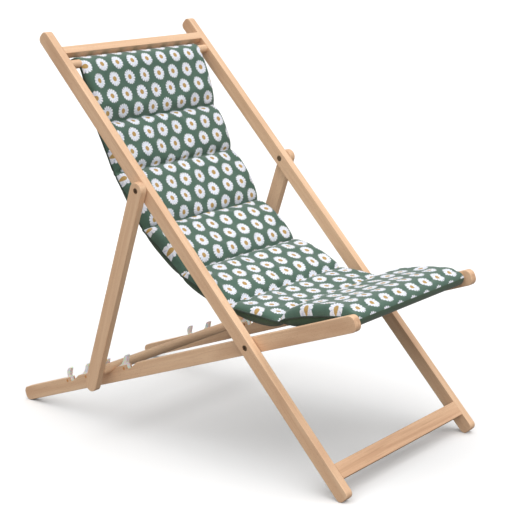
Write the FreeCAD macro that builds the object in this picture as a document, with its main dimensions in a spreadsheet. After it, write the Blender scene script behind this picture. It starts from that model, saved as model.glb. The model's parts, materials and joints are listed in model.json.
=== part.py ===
import FreeCAD, Part
import math
import os

import Sketcher
from FreeCAD import Placement, Rotation, Vector

# Folding wooden deck chair with a quilted fabric sling.
#
# Three flat wooden frames nest inside one another across the width: the prop frame is outermost,
# the back frame lies inside it and the seat frame is innermost. The seat frame and the prop frame
# both turn on bolts in the back frame's legs. The prop frame's round bar rests in hooks along the
# tops of the seat rails, which sets the recline.
#
# World frame: X across the chair, the sitter faces -Y, Z up from the floor, origin on the floor
# under the middle of the bounding box. Left is the side below X = 0. Every frame member is drawn
# in its frame's own side plane, where local x runs along the member, local y is square to it and
# local z points to the left.

# ------------------------------------------------------------------------------ driving sizes (mm)
SIZES = [
    ("edge_softening", 1.5, "rounding along the long edges of the timber"),
    ("frame_gap", 2, "space between two neighbouring frames"),
    ("washer_thickness", 1.7, "leaves running clearance inside frame_gap"),
    ("recline_angle", 47.6, "slope of the back legs above the floor, degrees"),
    ("back_half_width", 265, "middle plane to a back leg's outer face"),
    ("back_leg_width", 35, ""),
    ("back_leg_thickness", 22, ""),
    ("back_leg_up", 948, "fold pivot to the top of the leg"),
    ("back_leg_down", 410, "fold pivot to the foot"),
    ("back_leg_round", 13, "corner radius at both ends"),
    ("prop_pivot_up", 460, "fold pivot to prop pivot along the leg"),
    ("seat_rail_width", 38, ""),
    ("seat_rail_thickness", 20, ""),
    ("seat_rail_front", 317, "fold pivot to the front tip"),
    ("seat_rail_rear", 906, "fold pivot to the rear end on the floor"),
    ("seat_rail_round", 15, "corner radius at both ends"),
    ("prop_leg_width", 39, ""),
    ("prop_leg_thickness", 19, ""),
    ("prop_leg_round", 19, "corner radius, almost a half circle"),
    ("prop_leg_head", 20, "prop pivot to the top of the leg"),
    ("prop_leg_tail", 62, "prop bar to the bottom of the leg"),
    ("head_rail_up", 881, "fold pivot to the head rail's middle"),
    ("head_rail_size", 22, "square section"),
    ("sling_bar_up", 843, "fold pivot to the upper sling bar"),
    ("sling_bar_front", 5, "upper sling bar in front of the legs' centre line"),
    ("sling_bar_radius", 11, ""),
    ("foot_rail_down", 349, "fold pivot to the foot rail's middle"),
    ("foot_rail_height", 38, "along the leg"),
    ("foot_rail_depth", 16, ""),
    ("front_bar_ahead", 286, "fold pivot to the front sling bar"),
    ("front_bar_rise", 6, "front sling bar above the rails' centre line"),
    ("prop_bar_radius", 12.5, ""),
    ("prop_bar_front", 9, "prop bar in front of the prop legs' centre line"),
    ("tenon_radius", 7, "round tenon on the end of each bar"),
    ("tenon_depth", 13, ""),
    ("tenon_play", 0.05, ""),
    ("mortise_spare", 0.5, "a mortise is this much deeper than its tenon"),
    ("hook_pitch", 80.5, "from one hook to the next along the rail"),
    ("hook_first", 454, "fold pivot back to the front hook's throat"),
    ("hook_thickness", 10, ""),
    ("hook_slot", 10.3, "width of the slot that holds a hook"),
    ("hook_tongue_length", 30, "part of a hook that is let into the rail"),
    ("hook_tongue_floor", 3, "slot's floor above the rail's centre line"),
    ("hook_base_length", 38, "top of the rail covered by a hook"),
    ("hook_pin_radius", 4, ""),
    ("hook_pin_back", 10, "pin behind the hook's throat"),
    ("hook_pin_rise", 11, "pin above the rail's centre line"),
    ("hook_pin_recess", 3, "pin's inner end below the rail's inner face"),
    ("notch_floor", 7.6, "notch's floor above the rail's centre line"),
    ("notch_flat", 15, "level part of the notch's floor"),
    ("bar_ahead_of_throat", 12.9, "resting prop bar's axis in front of the throat"),
    ("bar_above_rail_line", 20.5, "resting prop bar's axis above the rails' centre line"),
    ("bolt_shank_radius", 3, ""),
    ("bolt_head_radius", 6, ""),
    ("bolt_head_height", 4, ""),
    ("bolt_socket_radius", 2.9, "circle round the hexagon socket"),
    ("bolt_socket_depth", 2.5, ""),
    ("sleeve_radius", 5, "barrel of the sleeve nut: the hinge pin"),
    ("sleeve_bore", 3.05, ""),
    ("flange_radius", 7, "head of the sleeve nut"),
    ("flange_height", 3, ""),
    ("tight_hole", 5.05, "hole that holds a sleeve nut"),
    ("running_hole", 5.08, "hole that turns on a sleeve nut"),
    ("bolt_recess_radius", 7.2, ""),
    ("bolt_recess_depth", 5, ""),
    ("flange_recess_radius", 8, ""),
    ("flange_recess_depth", 4, ""),
    ("running_play", 0.3, "gap between faces that turn past each other"),
    ("washer_radius", 11, ""),
    ("sling_width", 428, ""),
    ("sling_sleeve", 3, "fabric thickness round a bar"),
    ("sling_seam", 6, "half the sling's thickness at a sewn seam"),
    ("sling_crown", 18, "rise of a padded segment above its seams"),
    ("sling_belly", 8, "drop of a padded segment below its seams"),
]

# The sling's seams seen from the side, as (forward, height) from the fold pivot. The sling hangs
# slack from the head, and rises to the front bar.
BACK_SEAMS = [(-519, 478), (-460, 358), (-369, 225), (-243, 126), (-91, 71)]
SEAT_SEAMS = [(-91, 71), (64, 60)]
SLING_GAP = 4.0  # between the back and seat parts where they meet

HOOKS_PER_RAIL = 4
HOOK_IN_USE = 2
LEFT, RIGHT = -1, 1
SIDES = {"left": LEFT, "right": RIGHT}

doc = FreeCAD.newDocument("deck_chair")
sheet = doc.addObject("Spreadsheet::Sheet", "Sizes")
for row, (alias, value, note) in enumerate(SIZES, start=1):
    sheet.set("A%d" % row, alias)
    sheet.set("B%d" % row, str(value))
    sheet.setAlias("B%d" % row, alias)
    sheet.set("C%d" % row, note)
doc.recompute()

nodes = []  # every finished sub-part, in the order it is written


def size(alias):
    return float(sheet.get(alias))


def cell(alias):
    return "Sizes." + alias


# ------------------------------------------------------------------------------- where things stand
def turned(angle, x, y):
    """A point of a side plane, turned by an angle in degrees."""
    a = math.radians(angle)
    return (x * math.cos(a) - y * math.sin(a), x * math.sin(a) + y * math.cos(a))


def corner_reach(length, width, radius, angle):
    """How far a rounded bar end reaches in the direction that lies at this angle to the bar."""
    a = math.radians(angle)
    return (length - radius) * math.cos(a) + (width / 2 - radius) * math.sin(a) + radius


recline = size("recline_angle")
FOLD_PIVOT_HEIGHT = corner_reach(
    size("back_leg_down"), size("back_leg_width"), size("back_leg_round"), 90 - recline
)


def seat_slope():
    """Rise of the seat rails that puts their rounded rear ends on the floor."""
    along = size("seat_rail_rear") - size("seat_rail_round")
    across = size("seat_rail_width") / 2 - size("seat_rail_round")
    drop = FOLD_PIVOT_HEIGHT - size("seat_rail_round")
    reach = math.hypot(along, across)
    return math.degrees(math.asin(drop / reach) - math.atan2(across, along))


SEAT_SLOPE = seat_slope()
FRONT_REACH = corner_reach(
    size("seat_rail_front"), size("seat_rail_width"), size("seat_rail_round"), SEAT_SLOPE
)
REAR_REACH = corner_reach(
    size("seat_rail_rear"), size("seat_rail_width"), size("seat_rail_round"), SEAT_SLOPE
)
FOLD_PIVOT_Y = (FRONT_REACH - REAR_REACH) / 2


def side_point(forward, height):
    """World Y and Z of a point given as (forward, height) from the fold pivot."""
    return (FOLD_PIVOT_Y - forward, FOLD_PIVOT_HEIGHT + height)


PROP_PIVOT = turned(-recline, -size("prop_pivot_up"), 0)
USED_THROAT = -size("hook_first") - size("hook_pitch") * (HOOK_IN_USE - 1)
PROP_BAR = turned(
    SEAT_SLOPE, USED_THROAT + size("bar_ahead_of_throat"), size("bar_above_rail_line")
)
PROP_REACH = (PROP_BAR[0] - PROP_PIVOT[0], PROP_BAR[1] - PROP_PIVOT[1])
PROP_LENGTH = math.sqrt(math.hypot(*PROP_REACH) ** 2 - size("prop_bar_front") ** 2)
PROP_ANGLE = math.degrees(
    math.atan2(PROP_REACH[1], PROP_REACH[0]) - math.atan2(size("prop_bar_front"), PROP_LENGTH)
)


def sling_bar_place():
    return turned(-recline, -size("sling_bar_up"), size("sling_bar_front"))


# local x forward, local y up, local z to the left
SIDE_VIEW = Rotation(Vector(0, -1, 0), Vector(0, 0, 1), Vector(-1, 0, 0), "XYZ")


def frame_placement(pivot, angle):
    """Side plane whose origin is at a pivot and whose x axis rises forward by an angle."""
    y, z = side_point(*pivot)
    return Placement(Vector(0, y, z), Rotation(Vector(1, 0, 0), -angle) * SIDE_VIEW)


BACK = frame_placement((0, 0), -recline)
SEAT = frame_placement((0, 0), SEAT_SLOPE)
PROP = frame_placement(PROP_PIVOT, PROP_ANGLE)
REST = frame_placement((0, 0), 0)


def shifted(frame, x, y, z):
    return frame * Placement(Vector(x, y, z), Rotation())


# ------------------------------------------------------------------------------------- body helpers
def new_body(name):
    body = doc.addObject("PartDesign::Body", name)
    body.Label = name
    return body


def new_sketch(body, name, height="0"):
    """A sketch parallel to the body's XY plane, at a height given as an expression."""
    sketch = body.newObject("Sketcher::SketchObject", name)
    plane = [f for f in body.Origin.OriginFeatures if f.Role == "XY_Plane"][0]
    sketch.AttachmentSupport = [(plane, "")]
    sketch.MapMode = "FlatFace"
    sketch.setExpression("AttachmentOffset.Base.z", height)
    return sketch


def draw_rectangle(sketch, length, width):
    """A rectangle from the sketch's origin, its sides bound to two expressions."""
    corners = [Vector(0, 0), Vector(100, 0), Vector(100, 20), Vector(0, 20)]
    for k in range(4):
        sketch.addGeometry(Part.LineSegment(corners[k], corners[(k + 1) % 4]), False)
    for k in range(4):
        sketch.addConstraint(Sketcher.Constraint("Coincident", k, 2, (k + 1) % 4, 1))
    for k in (0, 2):
        sketch.addConstraint(Sketcher.Constraint("Horizontal", k))
        sketch.addConstraint(Sketcher.Constraint("Vertical", k + 1))
    sketch.addConstraint(Sketcher.Constraint("Coincident", 0, 1, -1, 1))
    along = sketch.addConstraint(Sketcher.Constraint("DistanceX", 0, 1, 0, 2, 100))
    across = sketch.addConstraint(Sketcher.Constraint("DistanceY", 1, 1, 1, 2, 20))
    sketch.setExpression("Constraints[%d]" % along, length)
    sketch.setExpression("Constraints[%d]" % across, width)


def draw_circle(sketch, radius, x="0", y="0"):
    """A circle whose radius and centre are bound to expressions."""
    centre = Vector(10 if x != "0" else 0, 10 if y != "0" else 0)
    circle = sketch.addGeometry(Part.Circle(centre, Vector(0, 0, 1), 1), False)
    bound = sketch.addConstraint(Sketcher.Constraint("Radius", circle, 1))
    sketch.setExpression("Constraints[%d]" % bound, radius)
    for kind, position in (("DistanceX", x), ("DistanceY", y)):
        if position != "0":
            bound = sketch.addConstraint(Sketcher.Constraint(kind, -1, 1, circle, 3, 10))
            sketch.setExpression("Constraints[%d]" % bound, position)
    if x == "0" and y == "0":
        sketch.addConstraint(Sketcher.Constraint("Coincident", circle, 3, -1, 1))


def draw_outline(sketch, edges):
    """Closed outline of lines and arcs that follow one another."""
    for edge in edges:
        sketch.addGeometry(edge, False)


def line(start, end):
    return Part.LineSegment(Vector(*start), Vector(*end))


def arc(start, middle, end):
    return Part.Arc(Vector(*start), Vector(*middle), Vector(*end))


def pad(body, sketch, length, symmetric=False):
    feature = body.newObject("PartDesign::Pad", sketch.Name + "_pad")
    feature.Profile = sketch
    feature.SideType = "Symmetric" if symmetric else "One side"
    feature.setExpression("Length", length)
    doc.recompute()
    return feature


def pocket(body, sketch, length=None, symmetric=False, upward=False):
    """Cut a sketch out of a body, right through if no length is given; it must remove material."""
    before = body.Shape.Volume
    feature = body.newObject("PartDesign::Pocket", sketch.Name + "_pocket")
    feature.Profile = sketch
    feature.SideType = "Symmetric" if symmetric else "One side"
    feature.Reversed = upward
    if length is None:
        feature.Type = "ThroughAll"
    else:
        feature.setExpression("Length", length)
    doc.recompute()
    if body.Shape.Volume > before - 1:
        raise RuntimeError(sketch.Name + " cuts nothing")
    return feature


def round_edges(body, name, radius, wanted):
    """Fillet the edges of a body's shape for which wanted(edge) is true."""
    base = body.Tip
    names = ["Edge%d" % (k + 1) for k, edge in enumerate(base.Shape.Edges) if wanted(edge)]
    feature = body.newObject("PartDesign::Fillet", name)
    feature.Base = (base, names)
    feature.setExpression("Radius", radius)
    doc.recompute()
    return feature


def is_upright(edge):
    """True for a straight edge square to the side plane."""
    ends = [v.Point for v in edge.Vertexes]
    return len(ends) == 2 and math.hypot(ends[0].x - ends[1].x, ends[0].y - ends[1].y) < 1e-6


def lies_flat(edge):
    """True for an edge that keeps one height above the side plane."""
    return edge.BoundBox.ZLength < 1e-6


def finish(node, placement):
    node.Placement = placement
    nodes.append(node)
    return node


# --------------------------------------------------------------------------------- timber members
class Member:
    """A leg or rail: a plank with rounded ends in the side plane of its frame.

    Local x starts at the member's own start, local y at its lower edge. On the left side of the
    chair the inner face is at local z = 0, and on the right side it is at the plank's thickness.
    """

    def __init__(self, name, side, kind, length, start, inner_offset):
        self.name, self.side, self.kind = name, side, kind
        self.start, self.inner_offset = start, inner_offset
        self.thickness = cell(kind + "_thickness")
        self.middle = cell(kind + "_width") + " / 2"
        self.body = new_body(name)
        outline = new_sketch(self.body, name + "_outline")
        draw_rectangle(outline, length, cell(kind + "_width"))
        pad(self.body, outline, self.thickness)
        round_edges(self.body, name + "_ends", cell(kind + "_round"), is_upright)
        round_edges(self.body, name + "_edges", cell("edge_softening"), lies_flat)

    def face(self, which):
        """Height of the inner or outer face, and whether a cut from it goes up in z."""
        at_zero = (which == "inner") == (self.side == LEFT)
        return ("0", True) if at_zero else (self.thickness, False)

    def hole(self, name, x, radius, depth=None, which="inner", y=None):
        """A round hole from one face, right through if no depth is given."""
        height, upward = self.face(which)
        sketch = new_sketch(self.body, self.name + "_" + name, height)
        draw_circle(sketch, radius, x, y or self.middle)
        pocket(self.body, sketch, depth, upward=upward)

    def mortise(self, name, x, y=None):
        radius = cell("tenon_radius") + " + " + cell("tenon_play")
        depth = cell("tenon_depth") + " + " + cell("mortise_spare")
        self.hole(name, x, radius, depth, "inner", y)

    def place(self, frame):
        z = self.inner_offset if self.side == LEFT else -self.inner_offset - self.plank()
        lower_edge = -size(self.kind + "_width") / 2
        finish(self.body, shifted(frame, self.start, lower_edge, z))

    def plank(self):
        return size(self.kind + "_thickness")


BACK_INNER = size("back_half_width") - size("back_leg_thickness")
SEAT_OUTER = BACK_INNER - size("frame_gap")
SEAT_INNER = SEAT_OUTER - size("seat_rail_thickness")
PROP_INNER = size("back_half_width") + size("frame_gap")


def make_back_leg(label, side):
    up, down = cell("back_leg_up"), cell("back_leg_down")
    leg = Member("back_leg_" + label, side, "back_leg", up + " + " + down,
                 -size("back_leg_up"), BACK_INNER)
    prop_pivot = up + " - " + cell("prop_pivot_up")
    front_face = cell("back_leg_width")
    leg.hole("fold_hole", up, cell("tight_hole"))
    leg.hole("fold_recess", up, cell("bolt_recess_radius"), cell("bolt_recess_depth"), "outer")
    leg.hole("prop_hole", prop_pivot, cell("tight_hole"))
    leg.hole("prop_recess", prop_pivot, cell("flange_recess_radius"), cell("flange_recess_depth"))
    leg.mortise("head_mortise", up + " - " + cell("head_rail_up"),
                front_face + " - " + cell("head_rail_size") + " / 2")
    leg.mortise("bar_mortise", up + " - " + cell("sling_bar_up"),
                leg.middle + " + " + cell("sling_bar_front"))
    leg.mortise("foot_mortise", up + " + " + cell("foot_rail_down"),
                front_face + " - " + cell("foot_rail_depth") + " / 2")
    leg.place(BACK)


def make_prop_leg(label, side):
    # the distance from pivot to bar closes the triangle of the three frames, so it isn't in the sheet
    head = cell("prop_leg_head")
    bar = "%s + %.6f" % (head, PROP_LENGTH)
    leg = Member("prop_leg_" + label, side, "prop_leg", bar + " + " + cell("prop_leg_tail"),
                 -size("prop_leg_head"), PROP_INNER)
    leg.hole("pivot_hole", head, cell("running_hole"))
    leg.hole("pivot_recess", head, cell("bolt_recess_radius"), cell("bolt_recess_depth"), "outer")
    leg.mortise("bar_mortise", bar, leg.middle + " + " + cell("prop_bar_front"))
    leg.place(PROP)


def notch_outline(throat, middle, top):
    """Saw-tooth notch in front of a hook: upright at the throat, ramped towards the next hook."""
    floor = middle + size("notch_floor")
    ramp_end = throat + size("hook_pitch") - size("hook_base_length")
    above = top + 5
    points = [
        (throat, above),
        (throat, floor),
        (throat + size("notch_flat"), floor),
        (ramp_end, top),
        (ramp_end, above),
    ]
    return [line(points[k], points[(k + 1) % len(points)]) for k in range(len(points))]


def slot_outline(throat, middle, top):
    """Slot that a hook's tongue drops into, open at the rail's top and at the notch."""
    floor = middle + size("hook_tongue_floor")
    rear = throat - size("hook_tongue_length")
    points = [(rear, floor), (throat + 1, floor), (throat + 1, top + 5), (rear, top + 5)]
    return [line(points[k], points[(k + 1) % 4]) for k in range(4)]


def hook_throats():
    """Distance of each hook's throat behind the fold pivot, front hook first."""
    return [size("hook_first") + k * size("hook_pitch") for k in range(HOOKS_PER_RAIL)]


def make_seat_rail(label, side):
    rear = cell("seat_rail_rear")
    rail = Member("seat_rail_" + label, side, "seat_rail", rear + " + " + cell("seat_rail_front"),
                  -size("seat_rail_rear"), SEAT_INNER)
    rail.hole("fold_hole", rear, cell("running_hole"))
    depth = cell("flange_recess_depth") + " + " + cell("running_play")
    rail.hole("fold_recess", rear, cell("flange_recess_radius"), depth)
    rail.mortise("front_mortise", rear + " + " + cell("front_bar_ahead"),
                 rail.middle + " + " + cell("front_bar_rise"))
    middle, top = size("seat_rail_width") / 2, size("seat_rail_width")
    notches = new_sketch(rail.body, rail.name + "_notches", rail.thickness)
    slots = new_sketch(rail.body, rail.name + "_slots", rail.thickness + " / 2")
    pins = new_sketch(rail.body, rail.name + "_pin_holes", rail.thickness)
    for k, back in enumerate(hook_throats()):
        throat = size("seat_rail_rear") - back
        draw_outline(notches, notch_outline(throat, middle, top))
        draw_outline(slots, slot_outline(throat, middle, top))
        behind = "%s - %s - %d * %s - %s" % (
            rear, cell("hook_first"), k, cell("hook_pitch"), cell("hook_pin_back"))
        draw_circle(pins, cell("hook_pin_radius") + " + " + cell("tenon_play"), behind,
                    rail.middle + " + " + cell("hook_pin_rise"))
    pocket(rail.body, notches)
    pocket(rail.body, slots, cell("hook_slot"), symmetric=True)
    pocket(rail.body, pins)
    rail.place(SEAT)


# ------------------------------------------------------------------------------------- cross bars
def make_cross_bar(name, frame, x, y, half_span, radius=None, section=None):
    """A bar across a frame with a round tenon at each end. section is (along x, along y)."""
    body = new_body(name)
    outline = new_sketch(body, name + "_outline")
    span = "%.6f" % (2 * half_span)
    offset = (0, 0)
    if radius:
        draw_circle(outline, radius)
        pad(body, outline, span, symmetric=True)
    else:
        draw_rectangle(outline, *section)
        pad(body, outline, span, symmetric=True)
        round_edges(body, name + "_edges", cell("edge_softening"), is_upright)
        box = body.Shape.BoundBox
        offset = (box.XLength / 2, box.YLength / 2)
    tenons = new_sketch(body, name + "_tenons")
    if radius:
        draw_circle(tenons, cell("tenon_radius"))
    else:
        draw_circle(tenons, cell("tenon_radius"), section[0] + " / 2", section[1] + " / 2")
    pad(body, tenons, span + " + 2 * " + cell("tenon_depth"), symmetric=True)
    finish(body, shifted(frame, x - offset[0], y - offset[1], 0))


def make_cross_bars():
    front_face = size("back_leg_width") / 2
    head, depth = cell("head_rail_size"), cell("foot_rail_depth")
    make_cross_bar("head_rail", BACK, -size("head_rail_up"), front_face - size("head_rail_size") / 2,
                   BACK_INNER, section=(head, head))
    make_cross_bar("sling_bar", BACK, -size("sling_bar_up"), size("sling_bar_front"),
                   BACK_INNER, radius=cell("sling_bar_radius"))
    make_cross_bar("foot_rail", BACK, size("foot_rail_down"), front_face - size("foot_rail_depth") / 2,
                   BACK_INNER, section=(cell("foot_rail_height"), depth))
    make_cross_bar("front_bar", SEAT, size("front_bar_ahead"), size("front_bar_rise"),
                   SEAT_INNER, radius=cell("sling_bar_radius"))
    make_cross_bar("prop_bar", PROP, PROP_LENGTH, size("prop_bar_front"), PROP_INNER,
                   radius=cell("prop_bar_radius"))


# ------------------------------------------------------------------------------------------ hooks
def hook_tongue():
    """Edges of the tongue in its slot, from the rail's top behind it to the throat's foot."""
    rear = -size("hook_tongue_length") + size("tenon_play")
    floor = size("hook_tongue_floor") + size("tenon_play")
    top = size("seat_rail_width") / 2
    return (rear, top), (rear, floor), (0, floor)


def lip(outer_start):
    """Inner side of a hook from the throat's foot, and its rounded lip back to outer_start."""
    neck, inner, brow = (0, 24.5), (9.6, 39.2), (7.5, 43.5)
    return [
        line(hook_tongue()[2], neck), line(neck, inner), arc(inner, (10.9, 41.9), brow),
        arc(brow, (1.2, 41.9), outer_start),
    ]


def ramp_hook():
    """Shark-fin hook with a long ramp behind it."""
    corner, heel, toe = hook_tongue()
    tail, shoulder, sag = (-size("hook_base_length"), corner[1]), (-4.5, 37.5), (-17, 25)
    return [line(tail, corner), line(corner, heel), line(heel, toe), *lip(shoulder),
            arc(shoulder, sag, tail)]


def end_hook():
    """Rearmost hook: a C with an upright back, on the same tongue."""
    corner, heel, toe = hook_tongue()
    shoulder, foot = (-9, 29), (-10, corner[1])
    return [line(corner, heel), line(heel, toe), *lip(shoulder), line(shoulder, foot),
            line(foot, corner)]


def make_hook(label, side, number, back):
    """Plastic hook let into a rail, with a hole for its cross pin."""
    name = "bar_hook_%s_%d" % (label, number)
    body = new_body(name)
    outline = new_sketch(body, name + "_outline")
    draw_outline(outline, end_hook() if number == HOOKS_PER_RAIL else ramp_hook())
    pad(body, outline, cell("hook_thickness"), symmetric=True)
    hole = new_sketch(body, name + "_pin_hole")
    circle = Part.Circle(Vector(-size("hook_pin_back"), size("hook_pin_rise")), Vector(0, 0, 1),
                         size("hook_pin_radius") + size("tenon_play"))
    hole.addGeometry(circle, False)
    pocket(body, hole, cell("hook_thickness") + " + 2", symmetric=True)
    rail_middle = SEAT_INNER + size("seat_rail_thickness") / 2
    finish(body, shifted(SEAT, -back, 0, -side * rail_middle))


# ------------------------------------------------------------------------- turned and round pieces
def cylinder(name, radius, height, placement):
    part = doc.addObject("Part::Cylinder", name)
    part.setExpression("Radius", radius)
    part.setExpression("Height", height)
    part.Placement = placement
    return part


def outward(side, pivot, offset):
    """Placement on a pivot's axis, offset mm from the middle plane, with z pointing outward."""
    y, z = side_point(*pivot)
    return Placement(Vector(side * offset, y, z), Rotation(Vector(0, 0, 1), Vector(side, 0, 0)))


def boolean(kind, name, base, tool):
    part = doc.addObject("Part::" + kind, name)
    part.Base, part.Tool = base, tool
    return part


def group(name, members):
    """One node that holds several equal pieces."""
    node = doc.addObject("Part::Compound", name)
    node.Label = name
    node.Links = members
    doc.recompute()
    nodes.append(node)


def make_bolt(name, side, pivot, seat, tip):
    """Socket-head bolt whose head sits at seat and whose shank ends at tip."""
    head = cylinder(name + "_head", cell("bolt_head_radius"), cell("bolt_head_height"),
                    outward(side, pivot, seat))
    shank = cylinder(name + "_shank", cell("bolt_shank_radius"), "%.6f" % (seat - tip + 1),
                     outward(side, pivot, tip))
    socket = doc.addObject("Part::Prism", name + "_socket")
    socket.Polygon = 6
    socket.setExpression("Circumradius", cell("bolt_socket_radius"))
    socket.setExpression("Height", cell("bolt_socket_depth"))
    floor = seat + size("bolt_head_height") - size("bolt_socket_depth")
    socket.Placement = outward(side, pivot, floor)
    blank = boolean("Fuse", name + "_blank", head, shank)
    return boolean("Cut", name, blank, socket)


def make_sleeve_nut(name, side, pivot, flange_face, end):
    """Flanged nut with a long barrel, which is the hinge pin. Its bore is blind at the flange."""
    flange = cylinder(name + "_flange", cell("flange_radius"), cell("flange_height"),
                      outward(side, pivot, flange_face))
    length = "%.6f" % (end - flange_face)
    barrel = cylinder(name + "_barrel", cell("sleeve_radius"), length,
                      outward(side, pivot, flange_face))
    bore = cylinder(name + "_bore", cell("sleeve_bore"), length,
                    outward(side, pivot, flange_face + size("flange_height") / 2))
    blank = boolean("Fuse", name + "_blank", flange, barrel)
    return boolean("Cut", name, blank, bore)


def make_washer(name, side, pivot, inner_face):
    disc = cylinder(name + "_disc", cell("washer_radius"), cell("washer_thickness"),
                    outward(side, pivot, inner_face))
    hole = cylinder(name + "_hole", cell("running_hole"), cell("washer_thickness"),
                    outward(side, pivot, inner_face))
    return boolean("Cut", name, disc, hole)


def make_pivot_hardware():
    fold, prop = (0, 0), PROP_PIVOT
    recess, play = size("bolt_recess_depth"), size("running_play")
    fold_seat = size("back_half_width") - recess
    fold_flange = SEAT_INNER + size("flange_recess_depth") - size("flange_height")
    prop_seat = PROP_INNER + size("prop_leg_thickness") - recess + play
    prop_flange = BACK_INNER + size("flange_recess_depth") - size("flange_height")
    shank_stop = 4  # the bolt's tip stays this far outside the flange's inner face
    fold_washer = BACK_INNER - size("washer_thickness")
    prop_washer = size("back_half_width")
    bolts, nuts, washers = [], [], []
    for label, side in SIDES.items():
        bolts.append(make_bolt("fold_bolt_" + label, side, fold, fold_seat, fold_flange + shank_stop))
        nuts.append(make_sleeve_nut("fold_nut_" + label, side, fold, fold_flange, fold_seat - 1))
        washers.append(make_washer("fold_washer_" + label, side, fold, fold_washer))
    group("fold_pivot_bolts", bolts)
    group("fold_pivot_nuts", nuts)
    group("fold_pivot_washers", washers)
    bolts, nuts, washers = [], [], []
    for label, side in SIDES.items():
        bolts.append(make_bolt("prop_bolt_" + label, side, prop, prop_seat, prop_flange + shank_stop))
        nuts.append(make_sleeve_nut("prop_nut_" + label, side, prop, prop_flange, prop_seat))
        washers.append(make_washer("prop_washer_" + label, side, prop, prop_washer))
    group("prop_pivot_bolts", bolts)
    group("prop_pivot_nuts", nuts)
    group("prop_pivot_washers", washers)


def make_hook_pins(label, side):
    """Pins through the rail and the hooks, flush outside and recessed inside."""
    pins = []
    for number, back in enumerate(hook_throats(), start=1):
        pivot = turned(SEAT_SLOPE, -back - size("hook_pin_back"), size("hook_pin_rise"))
        length = cell("seat_rail_thickness") + " - " + cell("hook_pin_recess")
        pins.append(cylinder("hook_pin_%s_%d" % (label, number), cell("hook_pin_radius"), length,
                             outward(side, pivot, SEAT_INNER + size("hook_pin_recess"))))
    group("hook_pins_" + label, pins)


# ------------------------------------------------------------------------------------------ sling
def offset_points(path, distance):
    """Points beside a path, moved square to it; positive is the side that the sitter touches."""
    moved = []
    for k, (x, y) in enumerate(path):
        before, after = path[max(k - 1, 0)], path[min(k + 1, len(path) - 1)]
        dx, dy = after[0] - before[0], after[1] - before[1]
        norm = math.hypot(dx, dy)
        moved.append((x - dy / norm * distance, y + dx / norm * distance))
    return moved


def scallops(points, bulge):
    """One arc between each two points, crowned to the left of the way they run."""
    arcs = []
    for (x0, y0), (x1, y1) in zip(points, points[1:]):
        dx, dy = x1 - x0, y1 - y0
        norm = math.hypot(dx, dy)
        crown = ((x0 + x1) / 2 - dy / norm * bulge, (y0 + y1) / 2 + dx / norm * bulge)
        arcs.append(arc((x0, y0), crown, (x1, y1)))
    return arcs


def make_sling_part(name, path, bar):
    """Quilted band along a path of seams, sewn round a bar that is at one of its ends."""
    half = size("sling_seam")
    top = offset_points(path, half)
    bottom = offset_points(path, -half)[::-1]
    edges = scallops(top, size("sling_crown")) + [line(top[-1], bottom[0])]
    edges += scallops(bottom, size("sling_belly")) + [line(bottom[-1], top[0])]
    body = new_body(name)
    band = new_sketch(body, name + "_band")
    draw_outline(band, edges)
    pad(body, band, cell("sling_width"), symmetric=True)
    sleeve_radius = size("sling_bar_radius") + size("sling_sleeve")
    sleeve = new_sketch(body, name + "_sleeve")
    sleeve.addGeometry(Part.Circle(Vector(*bar), Vector(0, 0, 1), sleeve_radius), False)
    pad(body, sleeve, cell("sling_width"), symmetric=True)
    tunnel = new_sketch(body, name + "_tunnel")
    tunnel_radius = size("sling_bar_radius") + size("tenon_play")
    tunnel.addGeometry(Part.Circle(Vector(*bar), Vector(0, 0, 1), tunnel_radius), False)
    pocket(body, tunnel, cell("sling_width") + " + 2", symmetric=True)
    finish(body, REST)


def make_sling():
    upper_bar = sling_bar_place()
    front_bar = turned(SEAT_SLOPE, size("front_bar_ahead"), size("front_bar_rise"))
    meet_x, meet_y = SEAT_SEAMS[0]
    back_end = (meet_x - SLING_GAP, meet_y)
    make_sling_part("sling_back", [upper_bar] + BACK_SEAMS[:-1] + [back_end], upper_bar)
    make_sling_part("sling_seat", [(meet_x, meet_y)] + SEAT_SEAMS[1:] + [front_bar], front_bar)


# ------------------------------------------------------------------------------------------- build
def build():
    for label, side in SIDES.items():
        make_back_leg(label, side)
        make_seat_rail(label, side)
        make_prop_leg(label, side)
        for number, back in enumerate(hook_throats(), start=1):
            make_hook(label, side, number, back)
        make_hook_pins(label, side)
    make_cross_bars()
    make_pivot_hardware()
    make_sling()
    doc.recompute()


def check_and_write():
    for item in doc.Objects:
        if "Invalid" in item.State or "Error" in item.State:
            raise RuntimeError("%s failed: %s" % (item.Label, item.State))
    for node in nodes:
        if node.Shape.isNull() or not node.Shape.isValid():
            raise RuntimeError(node.Label + " has no valid shape")
    os.makedirs("parts", exist_ok=True)
    for node in nodes:
        node.Shape.exportStep("parts/%s.step" % node.Label)


build()
check_and_write()
whole = Part.makeCompound([node.Shape for node in nodes]).BoundBox
print("%d nodes, box %.1f x %.1f x %.1f mm" % (len(nodes), whole.XLength, whole.YLength, whole.ZLength))
print("box from (%.2f, %.2f, %.2f)" % (whole.XMin, whole.YMin, whole.ZMin))
print("fold pivot y %.3f z %.3f" % side_point(0, 0))
print("prop pivot y %.3f z %.3f" % side_point(*PROP_PIVOT))
print("prop bar y %.3f z %.3f" % side_point(*PROP_BAR))
print("seat slope %.3f, prop angle %.3f, prop length %.2f" % (SEAT_SLOPE, PROP_ANGLE, PROP_LENGTH))
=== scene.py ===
import json
import math

import bpy
import numpy as np
from mathutils import Matrix, Vector


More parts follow.
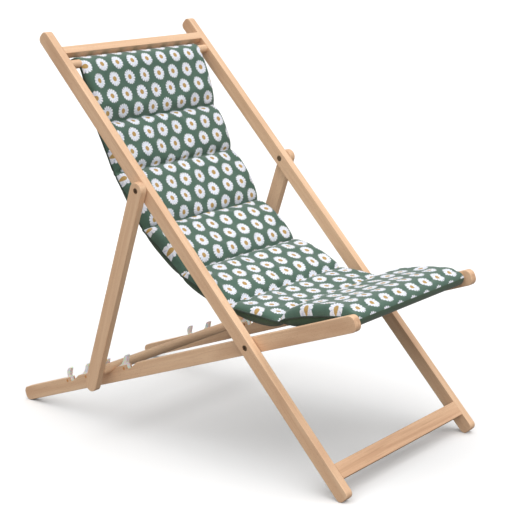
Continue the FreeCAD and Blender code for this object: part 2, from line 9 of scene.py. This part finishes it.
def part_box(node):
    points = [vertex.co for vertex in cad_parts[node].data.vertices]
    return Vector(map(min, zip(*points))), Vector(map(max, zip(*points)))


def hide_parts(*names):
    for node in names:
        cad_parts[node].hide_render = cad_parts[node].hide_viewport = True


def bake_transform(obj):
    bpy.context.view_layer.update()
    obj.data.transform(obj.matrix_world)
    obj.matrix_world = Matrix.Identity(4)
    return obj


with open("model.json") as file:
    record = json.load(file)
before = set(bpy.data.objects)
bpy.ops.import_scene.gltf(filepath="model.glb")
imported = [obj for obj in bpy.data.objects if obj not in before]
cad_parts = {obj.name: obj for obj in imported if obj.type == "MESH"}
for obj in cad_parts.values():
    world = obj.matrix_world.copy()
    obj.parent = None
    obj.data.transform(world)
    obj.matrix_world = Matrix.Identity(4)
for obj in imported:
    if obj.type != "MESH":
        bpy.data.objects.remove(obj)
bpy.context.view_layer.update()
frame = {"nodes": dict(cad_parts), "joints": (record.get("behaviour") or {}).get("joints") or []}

# ------------------------------------------------------------------ places that the frame gives
JOINTS = {joint["name"]: joint for joint in frame["joints"]}
FOLD_PIVOT = Vector(JOINTS["fold"]["pos_m"])
PROP_PIVOT = Vector(JOINTS["prop_turn"]["pos_m"])


def middle_of(node):
    low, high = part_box(node)
    return (low + high) / 2


UPPER_BAR = middle_of("sling_bar")
FRONT_BAR = middle_of("front_bar")
PROP_BAR = middle_of("prop_bar")
SLING_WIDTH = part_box("sling_back")[1].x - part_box("sling_back")[0].x
BACK_DIRECTION = (PROP_PIVOT - FOLD_PIVOT).normalized()
PROP_DIRECTION = (PROP_BAR - PROP_PIVOT).normalized()
SEAT_SLOPE = math.radians(19.02)
SEAT_DIRECTION = Vector((0, -math.cos(SEAT_SLOPE), math.sin(SEAT_SLOPE)))
ACROSS = Vector((1, 0, 0))


def side_place(bar):
    """(forward, height) of a point, measured from the fold pivot."""
    return np.array([FOLD_PIVOT.y - bar.y, bar.z - FOLD_PIVOT.z])


def leg_place(up, front):
    """(forward, height) of a point up the back leg and in front of its centre line."""
    rise = side_place(PROP_PIVOT) / np.linalg.norm(side_place(PROP_PIVOT))
    return rise * up + np.array([rise[1], -rise[0]]) * front


# ---------------------------------------------------------------------------------- colours (sRGB)
BEECH_LIGHT = (236, 199, 163)
BEECH_MID = (225, 184, 147)
BEECH_DARK = (203, 158, 123)
BEECH_FLECK = (170, 122, 90)
FOOT_GRAIN = (166, 118, 86)
PIN_WOOD = (226, 158, 92)
GROUND_GREEN = (79, 111, 93)
GROUND_SHADE = (64, 94, 82)
PLAIN_GREEN = (58, 86, 58)
PIPING_GREEN = (40, 60, 46)
PETAL_WHITE = (244, 246, 252)
PETAL_SHADE = (170, 176, 222)
EYE_GOLD = (204, 168, 100)
EYE_BROWN = (172, 132, 68)
HOOK_GREY = (242, 242, 240)
# painted shade: the bolts' zinc colour is a dark brown that stands in for the shaded hole round each bolt
ZINC_AND_HOLE_SHADE = (142, 118, 94)
NYLON = (38, 36, 34)


def linear(rgb):
    """sRGB bytes to a linear RGBA colour."""
    channels = [c / 255 for c in rgb]
    return tuple(c / 12.92 if c <= 0.04045 else ((c + 0.055) / 1.055) ** 2.4 for c in channels) + (1,)


# ------------------------------------------------------------------------------- node-tree helper
class Nodes:
    """Builds one material's node tree in short lines."""

    def __init__(self, name):
        self.material = bpy.data.materials.new(name)
        self.material.use_nodes = True
        self.tree = self.material.node_tree
        self.tree.nodes.clear()
        self.output = self.tree.nodes.new("ShaderNodeOutputMaterial")
        self.shader = self.tree.nodes.new("ShaderNodeBsdfPrincipled")
        self.tree.links.new(self.shader.outputs[0], self.output.inputs["Surface"])

    def add(self, kind, **settings):
        node = self.tree.nodes.new("ShaderNode" + kind)
        for key, value in settings.items():
            setattr(node, key, value)
        return node

    def feed(self, value, socket):
        if isinstance(value, bpy.types.NodeSocket):
            self.tree.links.new(value, socket)
        else:
            socket.default_value = value

    def math(self, operation, a, b=0.0, c=0.0, clamp=False):
        node = self.add("Math", operation=operation, use_clamp=clamp)
        for value, socket in zip((a, b, c), node.inputs):
            self.feed(value, socket)
        return node.outputs[0]

    def vector(self, operation, a, b=(0, 0, 0)):
        node = self.add("VectorMath", operation=operation)
        self.feed(a, node.inputs[0])
        self.feed(b, node.inputs[1])
        return node.outputs["Value" if operation in ("DOT_PRODUCT", "LENGTH") else "Vector"]

    def split(self, vector):
        node = self.add("SeparateXYZ")
        self.feed(vector, node.inputs[0])
        return node.outputs

    def join(self, x, y, z=0.0):
        node = self.add("CombineXYZ")
        for value, socket in zip((x, y, z), node.inputs):
            self.feed(value, socket)
        return node.outputs[0]

    def coordinates(self, kind):
        return self.add("TexCoord").outputs[kind]

    def attribute(self, name):
        return self.add("Attribute", attribute_name=name).outputs["Fac"]

    def noise(self, vector, scale, detail=3.0, roughness=0.5, distortion=0.0):
        node = self.add("TexNoise")
        self.feed(vector, node.inputs["Vector"])
        node.inputs["Scale"].default_value = scale
        node.inputs["Detail"].default_value = detail
        node.inputs["Roughness"].default_value = roughness
        node.inputs["Distortion"].default_value = distortion
        return node.outputs["Fac"]

    def ramp(self, value, low, high, start=0.0, end=1.0):
        """Smooth step of a value from one level to another."""
        node = self.add("MapRange", interpolation_type="SMOOTHSTEP")
        self.feed(value, node.inputs["Value"])
        for name, number in (("From Min", low), ("From Max", high), ("To Min", start), ("To Max", end)):
            self.feed(number, node.inputs[name])
        return node.outputs["Result"]

    def mix(self, factor, a, b, blend="MIX"):
        node = self.add("Mix", data_type="RGBA", blend_type=blend)
        self.feed(factor, node.inputs["Factor"])
        self.feed(a, node.inputs["A"])
        self.feed(b, node.inputs["B"])
        return node.outputs["Result"]

    def bump(self, height, distance, strength=1.0):
        node = self.add("Bump")
        self.feed(height, node.inputs["Height"])
        node.inputs["Distance"].default_value = distance
        node.inputs["Strength"].default_value = strength
        return node.outputs["Normal"]

    def finish(self, colour, roughness, normal=None, **constants):
        self.feed(colour, self.shader.inputs["Base Color"])
        self.feed(roughness, self.shader.inputs["Roughness"])
        if normal is not None:
            self.feed(normal, self.shader.inputs["Normal"])
        for name, value in constants.items():
            self.shader.inputs[name.replace("_", " ")].default_value = value
        return self.material


# --------------------------------------------------------------------------------------- materials
def beech(name, grain, offset=(0, 0, 0), light=BEECH_LIGHT, middle=BEECH_MID, dark=BEECH_DARK):
    """Lacquered beech whose grain runs along a direction of the row frame."""
    n = Nodes(name)
    place = n.vector("ADD", n.coordinates("Object"), offset)
    along = n.vector("DOT_PRODUCT", place, grain)
    side = Vector(grain).cross(ACROSS if abs(grain[0]) < 0.5 else Vector((0, 0, 1))).normalized()
    across = n.vector("DOT_PRODUCT", place, side)
    third = n.vector("DOT_PRODUCT", place, Vector(grain).cross(side))

    def stretched(lengthwise, crosswise):
        return n.join(
            n.math("MULTIPLY", along, lengthwise),
            n.math("MULTIPLY", across, crosswise),
            n.math("MULTIPLY", third, crosswise),
        )

    bands = n.noise(stretched(1.6, 46), 1.0, 4.0, 0.55, 0.6)
    fibres = n.noise(stretched(9, 420), 1.0, 3.0, 0.6)
    flecks = n.noise(stretched(330, 1500), 1.0, 1.0, 0.4)
    patches = n.noise(stretched(3.5, 14), 1.0, 2.0, 0.5)
    colour = n.mix(n.ramp(bands, 0.34, 0.66), linear(light), linear(middle))
    colour = n.mix(n.ramp(patches, 0.52, 0.8, 0.0, 0.75), colour, linear(dark))
    colour = n.mix(n.ramp(fibres, 0.5, 0.72, 0.0, 0.4), colour, linear(dark))
    colour = n.mix(n.ramp(flecks, 0.62, 0.72, 0.0, 0.5), colour, linear(BEECH_FLECK))
    # end grain is darker and shows the rings
    facing = n.math("ABSOLUTE", n.vector("DOT_PRODUCT", n.coordinates("Normal"), grain))
    rings = n.noise(stretched(0, 160), 1.0, 2.0, 0.5, 1.2)
    end = n.mix(n.ramp(rings, 0.4, 0.6), linear(middle), linear(dark))
    colour = n.mix(n.ramp(facing, 0.75, 0.97, 0.0, 0.8), colour, end)
    rough = n.ramp(fibres, 0.3, 0.8, 0.46, 0.6)
    height = n.math("ADD", n.math("MULTIPLY", fibres, 0.7), n.math("MULTIPLY", flecks, 0.3))
    return n.finish(colour, rough, n.bump(height, 0.00025, 0.5), Coat_Weight=0.06, Coat_Roughness=0.35)


def plastic():
    """Pale moulded plastic, faintly clouded, with fine scuffs."""
    n = Nodes("hook_plastic_look")
    place = n.coordinates("Object")
    cloud = n.noise(place, 90, 3.0)
    scuff = n.noise(place, 1400, 2.0)
    colour = n.mix(n.ramp(cloud, 0.35, 0.7, 0.0, 0.6), linear(HOOK_GREY), linear((228, 228, 226)))
    return n.finish(colour, n.ramp(scuff, 0.3, 0.8, 0.32, 0.5), n.bump(scuff, 0.00008, 0.4),
                    Subsurface_Weight=0.6, Subsurface_Scale=0.006)


def zinc_and_hole_shade():
    """Zinc-plated steel with turning marks and dull patches, tinted dark brown throughout as painted shade
    of the hole that each bolt sits in.
    """
    n = Nodes("zinc_and_hole_shade_look")
    place = n.coordinates("Object")
    spread = n.vector("MULTIPLY", place, (300, 2600, 2600))
    marks = n.noise(spread, 1.0, 2.0)
    patches = n.noise(place, 260, 3.0)
    # the brown base and the darker brown patches are painted shade of the bolt holes over the zinc
    colour = n.mix(n.ramp(patches, 0.4, 0.7, 0.0, 0.7), linear(ZINC_AND_HOLE_SHADE), linear((98, 78, 60)))
    return n.finish(colour, n.ramp(marks, 0.3, 0.7, 0.34, 0.52), n.bump(marks, 0.00005, 0.5), Metallic=0.9)


def nylon():
    n = Nodes("nylon_look")
    grain = n.noise(n.coordinates("Object"), 1200, 2.0)
    colour = n.mix(grain, linear(NYLON), linear((52, 50, 47)))
    return n.finish(colour, n.ramp(grain, 0.3, 0.7, 0.5, 0.65), n.bump(grain, 0.00005, 0.4))


DAISY_ACROSS, DAISY_ALONG = 0.052, 0.0425  # pitch of the print
PETAL_RADIUS, EYE_RADIUS, PETALS = 0.0176, 0.0059, 15
DAISY_STRETCH = 1.1  # a daisy is taller than it is wide


def daisy_print():
    """Cotton printed with staggered rows of daisies, drawn in the fabric's own metres."""
    n = Nodes("daisy_fabric")
    cloth = n.coordinates("UV")
    wander = n.noise(cloth, 520, 2.0)
    x, y, _ = n.split(cloth)
    row = n.math("DIVIDE", y, DAISY_ALONG)
    row_number = n.math("FLOOR", row)
    stagger = n.math("MULTIPLY", n.math("FLOORED_MODULO", row_number, 2.0), 0.5)
    column = n.math("ADD", n.math("DIVIDE", x, DAISY_ACROSS), stagger)
    column_number = n.math("FLOOR", column)
    dx = n.math("MULTIPLY", n.math("SUBTRACT", n.math("SUBTRACT", column, column_number), 0.5), DAISY_ACROSS)
    dy = n.math("MULTIPLY", n.math("SUBTRACT", n.math("SUBTRACT", row, row_number), 0.5), DAISY_ALONG)
    cell = n.add("TexWhiteNoise", noise_dimensions="2D")
    n.feed(n.join(column_number, row_number), cell.inputs["Vector"])
    turn = n.math("MULTIPLY", cell.outputs["Value"], 6.283)
    dy = n.math("DIVIDE", dy, DAISY_STRETCH)
    radius = n.math("SQRT", n.math("ADD", n.math("MULTIPLY", dx, dx), n.math("MULTIPLY", dy, dy)))
    angle = n.math("ADD", n.math("ARCTAN2", dy, dx), turn)
    angle = n.math("ADD", angle, n.math("MULTIPLY", n.math("SUBTRACT", wander, 0.5), 0.25))
    wave = n.math("ABSOLUTE", n.math("COSINE", n.math("MULTIPLY", angle, PETALS / 2)))
    wave = n.math("POWER", wave, 0.7)
    # a second, slower ripple makes some petals longer than others
    uneven = n.math("SINE", n.math("MULTIPLY_ADD", angle, 5.0, turn))
    reach = n.math("MULTIPLY_ADD", wave, 0.26, 0.74)
    reach = n.math("MULTIPLY_ADD", uneven, 0.02, reach)
    edge = n.math("MULTIPLY", reach, PETAL_RADIUS)
    petals = n.ramp(n.math("SUBTRACT", radius, edge), -0.0004, 0.0004, 1.0, 0.0)
    streaks = n.noise(n.join(n.math("MULTIPLY", angle, 5.0), n.math("MULTIPLY", radius, 160)), 1.0, 2.0)
    creases = n.math("MULTIPLY", n.ramp(wave, 0.2, 0.75, 1.0, 0.0), n.ramp(radius, 0.004, 0.014, 0.15, 0.75))
    creases = n.math("MAXIMUM", creases, n.ramp(streaks, 0.52, 0.75, 0.0, 0.55))
    petal_colour = n.mix(creases, linear(PETAL_WHITE), linear(PETAL_SHADE))
    ground = n.mix(n.noise(cloth, 55, 3.0), linear(GROUND_GREEN), linear(GROUND_SHADE))
    eye_reach = n.math("MULTIPLY_ADD", wander, 0.0016, EYE_RADIUS - 0.0008)
    eye = n.ramp(n.math("SUBTRACT", radius, eye_reach), -0.0004, 0.0004, 1.0, 0.0)
    speckle = n.noise(cloth, 1500, 2.0)
    eye_colour = n.mix(n.ramp(speckle, 0.35, 0.65), linear(EYE_GOLD), linear(EYE_BROWN))
    colour = n.mix(petals, ground, petal_colour)
    colour = n.mix(eye, colour, eye_colour)
    return fabric_finish(n, cloth, colour)


def fabric_finish(n, cloth, colour):
    """Plain weave, lines of stitching at the sewn seams and a soft, dull surface."""
    warp = n.add("TexWave", wave_type="BANDS", bands_direction="X")
    weft = n.add("TexWave", wave_type="BANDS", bands_direction="Y")
    for wave in (warp, weft):
        n.feed(cloth, wave.inputs["Vector"])
        wave.inputs["Scale"].default_value = 380
        wave.inputs["Distortion"].default_value = 0.6
    weave = n.math("MULTIPLY", warp.outputs["Fac"], weft.outputs["Fac"])
    slubs = n.noise(n.vector("MULTIPLY", cloth, (900, 160, 1)), 1.0, 2.0)
    from_seam = n.attribute("seam_distance")
    x, _, _ = n.split(cloth)
    dash = n.math("SINE", n.math("MULTIPLY", x, 2 * math.pi / 0.0035))
    stitch = n.math("MULTIPLY", n.ramp(from_seam, 0.0006, 0.0011, 1.0, 0.0), n.ramp(dash, -0.3, 0.1))
    colour = n.mix(n.math("MULTIPLY", stitch, 0.7), colour, linear(PIPING_GREEN))
    colour = n.mix(n.ramp(weave, 0.1, 0.6, 0.16, 0.0), colour, linear(PIPING_GREEN))
    height = n.math("ADD", n.math("MULTIPLY", weave, 0.5), n.math("MULTIPLY", slubs, 0.6))
    height = n.math("ADD", height, n.math("MULTIPLY", stitch, 1.5))
    return n.finish(colour, n.ramp(slubs, 0.3, 0.8, 0.78, 0.92), n.bump(height, 0.0002, 0.5),
                    Sheen_Weight=0.25, Sheen_Roughness=0.5)


def plain_fabric(name, colour):
    """Backing or piping: the same weave in one colour, without the print."""
    n = Nodes(name)
    cloth = n.coordinates("UV")
    ground = n.mix(n.noise(cloth, 60, 3.0), linear(colour), linear(tuple(int(c * 0.8) for c in colour)))
    return fabric_finish(n, cloth, ground)


# ------------------------------------------------------------------------------------ CAD node looks
def dress(nodes, material):
    for name in nodes:
        mesh = frame["nodes"][name].data
        mesh.materials.clear()
        mesh.materials.append(material)


def dress_frame():
    """Grain runs along each member, and each piece is cut from its own part of the plank."""
    members = {
        "back_leg": BACK_DIRECTION,
        "seat_rail": SEAT_DIRECTION,
        "prop_leg": PROP_DIRECTION,
    }
    for kind, grain in members.items():
        for number, side in enumerate(("left", "right")):
            name = "%s_%s" % (kind, side)
            dress([name], beech(name + "_beech", grain, (0, 0.37 * number, 0.21 * number)))
    for number, name in enumerate(("head_rail", "sling_bar", "front_bar", "prop_bar")):
        dress([name], beech(name + "_beech", ACROSS, (0.4 * number, 0.3, 0.1 * number)))
    foot = beech("foot_rail_beech", ACROSS, (0.8, 0.3, 0.2), BEECH_MID, BEECH_DARK, FOOT_GRAIN)
    dress(["foot_rail"], foot)
    pins = beech("pin_beech", ACROSS, (0.7, 0.2, 0.4), PIN_WOOD, (214, 146, 84), (190, 122, 66))
    dress(["hook_pins_left", "hook_pins_right"], pins)
    hooks = [name for name in frame["nodes"] if name.startswith("bar_hook")]
    dress(hooks, plastic())
    dress(["fold_pivot_bolts", "fold_pivot_nuts", "prop_pivot_bolts", "prop_pivot_nuts"], zinc_and_hole_shade())
    dress(["fold_pivot_washers", "prop_pivot_washers"], nylon())


# ------------------------------------------------------------------------------------------- sling
# Side view of the sling. The flap at its head goes from behind the head rail to the fold over the
# upper bar, as (up the back leg, in front of its centre line) in metres.
FLAP_TOP = [(0.872, -0.013), (0.8685, -0.006), (0.866, 0.002), (0.861, 0.0085), (0.854, 0.0125)]
FLAP_UNDER = [(0.872, -0.013), (0.866, -0.0115), (0.861, -0.0085), (0.857, -0.0055), (0.854, -0.002)]
# The sewn seams between the padded segments, as (forward, height) from the fold pivot. The first
# is the fold and the last is the front bar, which the sling rolls over without a seam.
SEAMS = [
    tuple(leg_place(0.854, 0.0095)),
    (-0.516, 0.476),
    (-0.459, 0.356),
    (-0.368, 0.223),
    (-0.243, 0.125),
    (-0.092, 0.071),
    (0.064, 0.060),
    tuple(side_place(FRONT_BAR)),
]
CROWNS = [0.024, 0.026, 0.030, 0.029, 0.026, 0.012, 0.034]  # rise of each segment above its seams
BELLIES = [0.009, 0.009, 0.010, 0.014, 0.021, 0.022, 0.014]  # and its drop below them
SEAM_HALF = 0.003  # half the sling's thickness where it is sewn
SLEEVE = 0.0130  # outer radius of the fabric round the upper bar
ROLL = 0.0175  # and of the padding round the front bar
STEP = 0.0062  # spacing of the mesh
SIDE_TAPER = 0.020  # a segment closes over this width at its side edge
END_TAPER = 0.003  # the same beside the bars
PUFF_LIMIT = 0.006  # furthest that the simulation may move a point
PIPING_RADIUS = 0.0022
FLAP_ROWS, ROLL_ROWS = 4, 8  # rows of the mesh before the fold and round the front bar


def pillow(t):
    """Height of a stuffed channel: steep beside its seams and flat on top."""
    return np.sqrt(np.clip(1 - np.abs(2 * t - 1) ** 2.4, 0, 1))


def segment_heights(k, t):
    """Rise and drop of segment k; the last one ends in the roll round the front bar."""
    end = ROLL if k == len(CROWNS) - 1 and t > 0.5 else SEAM_HALF
    heights = []
    for full in (SEAM_HALF + CROWNS[k], SEAM_HALF + BELLIES[k]):
        heights.append(end + (full - end) * pillow(t))
    return heights


def beyond_bar(point, step, bar):
    """Moves a point along a direction until it is outside the fabric round a bar."""
    offset = point - bar
    along = offset @ step
    inside = SLEEVE ** 2 - (offset @ offset - along ** 2)
    if inside <= 0:
        return point
    return point + step * max(0.0, math.sqrt(inside) - along)


def side_profile():
    """Rows of the sling from head to front: (middle, top, bottom, distance to a seam, side taper)."""
    rows = []
    upper, front = side_place(UPPER_BAR), side_place(FRONT_BAR)
    for over, under in zip(FLAP_TOP[:-1], FLAP_UNDER[:-1]):
        a, b = leg_place(*over), leg_place(*under)
        rows.append([(a + b) / 2, a, b, 0.02, END_TAPER])
    seams = [np.array(p) for p in SEAMS]
    normals = []
    for a, b in zip(seams, seams[1:]):
        d = (b - a) / np.linalg.norm(b - a)
        normals.append(np.array([-d[1], d[0]]))
    last = len(seams) - 2
    for k, (a, b) in enumerate(zip(seams, seams[1:])):
        length = np.linalg.norm(b - a)
        steps = int(round(length / STEP))
        for i in range(steps + (k == last)):
            t = i / steps
            normal = normals[k]
            if i == 0 and k > 0:
                normal = normals[k - 1] + normals[k]
                normal /= np.linalg.norm(normal)
            middle = a + (b - a) * t
            rise, drop = segment_heights(k, t)
            over = beyond_bar(middle + normal * rise, normal, upper)
            under = beyond_bar(middle - normal * drop, -normal, upper)
            near = t * length if k == last else min(t, 1 - t) * length
            taper = SIDE_TAPER
            if k == last:
                taper += (END_TAPER - SIDE_TAPER) * max(0.0, (t - 0.8) / 0.2)
            if k == 0:
                taper += (END_TAPER - SIDE_TAPER) * max(0.0, 1 - t / 0.2)
                near = max(near, 0.02) if t < 0.5 else near
            rows.append([(over + under) / 2 if k in (0, last) else middle, over, under, near, taper])
    lean = math.atan2(*(seams[-1] - seams[-2])[::-1])
    for turn in np.radians(np.linspace(90, 0, ROLL_ROWS + 1))[1:]:
        a = front + ROLL * np.array([math.cos(lean + turn), math.sin(lean + turn)])
        b = front + ROLL * np.array([math.cos(lean - turn), math.sin(lean - turn)])
        rows.append([(a + b) / 2, a, b, 0.02, END_TAPER])
    return rows


def across_places():
    """Places of the mesh's columns, closer together beside the edges."""
    half = SLING_WIDTH / 2
    edge = [0, 0.0012, 0.0032, 0.0065, 0.0110, 0.0165]
    inner = half - edge[-1]
    count = int(round(2 * inner / STEP))
    middle = np.linspace(-inner, inner, count + 1)
    left = [-half + e for e in edge[:-1]]
    return np.array(left + list(middle) + [-x for x in left[::-1]])


def closing(distance, taper):
    """Share of the thickness that is left at a distance from the side edge."""
    d = np.clip(distance / taper, 0, 1)
    return np.sqrt(1 - (1 - d) ** 2)


def sling_mesh():
    """Closed quilted band with its top and bottom sewn together along the sides.

    Returns the object, whether each vertex is held, and the vertices along each side edge; each vertex's
    seam distance is kept on the mesh.
    """
    rows, xs = side_profile(), across_places()
    half = SLING_WIDTH / 2
    last = len(rows) - 1
    top_points = np.array([row[1] for row in rows])
    lengths = np.concatenate([[0], np.cumsum(np.linalg.norm(np.diff(top_points, axis=0), axis=1))])
    vertices, index, cloth, seam_distance, held = [], {}, [], [], []

    def vertex(side, i, j, point, x):
        index[side, i, j] = len(vertices)
        vertices.append((x, FOLD_PIVOT.y - point[0], FOLD_PIVOT.z + point[1]))
        cloth.append((x, lengths[i]))
        seam_distance.append(rows[i][3])
        on_seam = rows[i][3] < 1e-6 or rows[i][4] < SIDE_TAPER
        held.append(1.0 if on_seam else 0.0)

    for i, (middle, top, bottom, _, taper) in enumerate(rows):
        for j, x in enumerate(xs):
            share = closing(half - abs(x), taper)
            vertex("top", i, j, middle + (top - middle) * share, x)
            if i in (0, last) or j in (0, len(xs) - 1):
                index["bottom", i, j] = index["top", i, j]
            else:
                vertex("bottom", i, j, middle + (bottom - middle) * share, x)
    faces, backing = [], []
    for i in range(last):
        for j in range(len(xs) - 1):
            for side, order in (("top", 1), ("bottom", -1)):
                corners = [(i, j), (i, j + 1), (i + 1, j + 1), (i + 1, j)][::order]
                face = [index[side, a, b] for a, b in corners]
                if len(set(face)) > 2:
                    faces.append(list(dict.fromkeys(face)))
                    backing.append(side == "bottom")
    mesh = bpy.data.meshes.new("sling")
    mesh.from_pydata(vertices, [], faces)
    mesh.materials.append(daisy_print())
    mesh.materials.append(plain_fabric("backing_fabric", PLAIN_GREEN))
    mesh.polygons.foreach_set("material_index", [int(b) for b in backing])
    mesh.polygons.foreach_set("use_smooth", [True] * len(faces))
    uv = mesh.uv_layers.new(name="cloth")
    loops = [v for face in mesh.polygons for v in face.vertices]
    uv.data.foreach_set("uv", np.array([cloth[v] for v in loops]).ravel())
    attribute = mesh.attributes.new("seam_distance", "FLOAT", "POINT")
    attribute.data.foreach_set("value", seam_distance)
    mesh.validate()
    sling = bpy.data.objects.new("quilted_sling", mesh)
    bpy.context.scene.collection.objects.link(sling)
    edges = {}
    for side, j in (("left", 0), ("right", len(xs) - 1)):
        edges[side] = [index["top", i, j] for i in range(len(rows))]
    return sling, np.array(held), edges


def puff_up(piece, held, most):
    """Inflates the padding as cloth under pressure. No point moves further than most."""
    start = np.array([v.co for v in piece.data.vertices])
    group = piece.vertex_groups.new(name="held")
    for number, weight in enumerate(held):
        group.add([number], float(weight), "REPLACE")
    cloth = piece.modifiers.new("puff", "CLOTH")
    settings = cloth.settings
    settings.quality = 5
    settings.mass = 0.25
    settings.tension_stiffness = settings.compression_stiffness = 18
    settings.shear_stiffness = 8
    settings.bending_stiffness = 1.5
    settings.use_pressure = True
    settings.uniform_pressure_force = 0.6
    settings.shrink_min = -0.008
    settings.vertex_group_mass = "held"
    settings.effector_weights.gravity = 0
    cloth.collision_settings.use_collision = False
    for number in range(1, 21):
        bpy.context.scene.frame_set(number)
    shape = piece.evaluated_get(bpy.context.evaluated_depsgraph_get()).to_mesh()
    moved = np.array([v.co for v in shape.vertices]) - start
    piece.modifiers.remove(cloth)
    piece.vertex_groups.clear()
    bpy.context.scene.frame_set(1)
    distance = np.linalg.norm(moved, axis=1, keepdims=True)
    print("puff moved up to %.1f mm, mean %.1f mm" % (distance.max() * 1000, distance.mean() * 1000))
    limit = most * np.tanh(distance / most) / np.maximum(distance, 1e-9)
    piece.data.vertices.foreach_set("co", (start + moved * limit).ravel())
    piece.data.update()


def gather(piece):
    """Small folds that run into the seams, deeper at two of them."""
    mesh = piece.data
    places = np.array([v.co for v in mesh.vertices])
    normals = np.array([v.normal for v in mesh.vertices])
    near = np.zeros(len(places))
    mesh.attributes["seam_distance"].data.foreach_get("value", near)
    forward = FOLD_PIVOT.y - places[:, 1]
    depth = np.zeros(len(places))
    for k, (along, _) in enumerate(SEAMS[1:-1], start=1):
        strength = {2: 1.0, 5: 0.9, 6: 0.35}.get(k, 0.18)
        reach = 0.022 if strength > 0.5 else 0.010
        beside = np.exp(-((forward - along) / 0.05) ** 2)
        x = places[:, 0]
        folds = np.sin(x * 2 * math.pi / 0.047 + 1.3 * np.sin(x * 31 + k)) * 0.6
        folds += np.sin(x * 2 * math.pi / 0.021 + k * 1.7) * 0.4
        folds = -np.clip(folds, 0, 1) ** 1.5
        depth += strength * 0.0055 * folds * beside * np.exp(-near / reach) * np.clip(near / 0.004, 0, 1)
    mesh.vertices.foreach_set("co", (places + normals * depth[:, None]).ravel())
    mesh.update()


def smooth_once(piece):
    """One subdivision, applied."""
    piece.modifiers.new("smooth", "SUBSURF").levels = 1
    shape = bpy.data.meshes.new_from_object(piece.evaluated_get(bpy.context.evaluated_depsgraph_get()))
    piece.modifiers.clear()
    piece.data = shape


def piping(name, points, radius):
    """Thin corded edge along a line of points."""
    curve = bpy.data.curves.new(name, "CURVE")
    curve.dimensions = "3D"
    curve.bevel_depth = radius
    curve.bevel_resolution = 3
    curve.use_fill_caps = True
    spline = curve.splines.new("POLY")
    spline.points.add(len(points) - 1)
    for point, place in zip(spline.points, points):
        point.co = (*place, 1)
    rope = bpy.data.objects.new(name, curve)
    bpy.context.scene.collection.objects.link(rope)
    mesh = bpy.data.meshes.new_from_object(rope.evaluated_get(bpy.context.evaluated_depsgraph_get()))
    bpy.data.objects.remove(rope)
    piece = bpy.data.objects.new(name, mesh)
    bpy.context.scene.collection.objects.link(piece)
    mesh.polygons.foreach_set("use_smooth", [True] * len(mesh.polygons))
    return piece


def make_sling():
    sling, held, edges = sling_mesh()
    puff_up(sling, held, PUFF_LIMIT)
    gather(sling)
    places = [v.co.copy() for v in sling.data.vertices]
    smooth_once(sling)
    edging = plain_fabric("piping_fabric", PIPING_GREEN)
    cords = []
    for side, numbers in edges.items():
        edge = [places[v] for v in numbers[FLAP_ROWS:-ROLL_ROWS]]
        cord = piping("sling_piping_" + side, edge, PIPING_RADIUS)
        cord.data.materials.append(edging)
        cords.append(cord)
    for piece in [sling] + cords:
        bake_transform(piece)
    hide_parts("sling_back", "sling_seat")


# ------------------------------------------------------------------------------------------- stage
def make_stage():
    """Pale floor, which sends little light back up, and an even sky."""
    bpy.ops.mesh.primitive_plane_add(size=60, location=(0, 0, -0.0005))
    floor = bpy.context.object
    floor.name = "floor"
    n = Nodes("floor_look")
    path = n.add("LightPath").outputs["Is Camera Ray"]
    colour = n.mix(path, (0.16, 0.16, 0.16, 1), (0.96, 0.96, 0.96, 1))
    floor.data.materials.append(n.finish(colour, 0.9))
    world = bpy.data.worlds.new("sky")
    bpy.context.scene.world = world
    world.use_nodes = True
    tree = world.node_tree
    background = tree.nodes["Background"]
    background.inputs["Color"].default_value = (1, 1, 1, 1)
    seen = tree.nodes.new("ShaderNodeLightPath").outputs["Is Camera Ray"]
    strength = tree.nodes.new("ShaderNodeMapRange")
    tree.links.new(seen, strength.inputs["Value"])
    strength.inputs["To Min"].default_value = 0.42
    strength.inputs["To Max"].default_value = 1.0
    tree.links.new(strength.outputs["Result"], background.inputs["Strength"])


def make_light(name, direction, spread, strength):
    """Wide, even light that comes from a direction, like a large softbox far away."""
    light = bpy.data.lights.new(name, "SUN")
    light.angle = math.radians(spread)
    light.energy = strength
    lamp = bpy.data.objects.new(name, light)
    bpy.context.scene.collection.objects.link(lamp)
    lamp.rotation_euler = (-Vector(direction)).to_track_quat("-Z", "Y").to_euler()


CAMERA_PLACE = (-2.3051, -2.1465, 1.1958)
CAMERA_TURN, CAMERA_TILT, CAMERA_ROLL = (math.radians(a) for a in (-48.243, 13.624, -2.317))


def make_camera():
    camera = bpy.data.cameras.new("camera")
    camera.sensor_width = 36
    camera.lens = 89.04
    view = bpy.data.objects.new("camera", camera)
    bpy.context.scene.collection.objects.link(view)
    back = Vector((
        math.sin(CAMERA_TURN) * math.cos(CAMERA_TILT),
        -math.cos(CAMERA_TURN) * math.cos(CAMERA_TILT),
        math.sin(CAMERA_TILT),
    ))
    level = Vector((math.cos(CAMERA_TURN), math.sin(CAMERA_TURN), 0))
    upright = back.cross(level)
    right = level * math.cos(CAMERA_ROLL) + upright * math.sin(CAMERA_ROLL)
    up = upright * math.cos(CAMERA_ROLL) - level * math.sin(CAMERA_ROLL)
    turn = Matrix((right, up, back)).transposed().to_4x4()
    view.matrix_world = Matrix.Translation(CAMERA_PLACE) @ turn
    bpy.context.scene.camera = view


dress_frame()
make_sling()
make_stage()
make_light("softbox", (-0.2, -0.305, 0.783), 110, 3.0)
make_camera()
bpy.context.scene.view_settings.view_transform = "Standard"
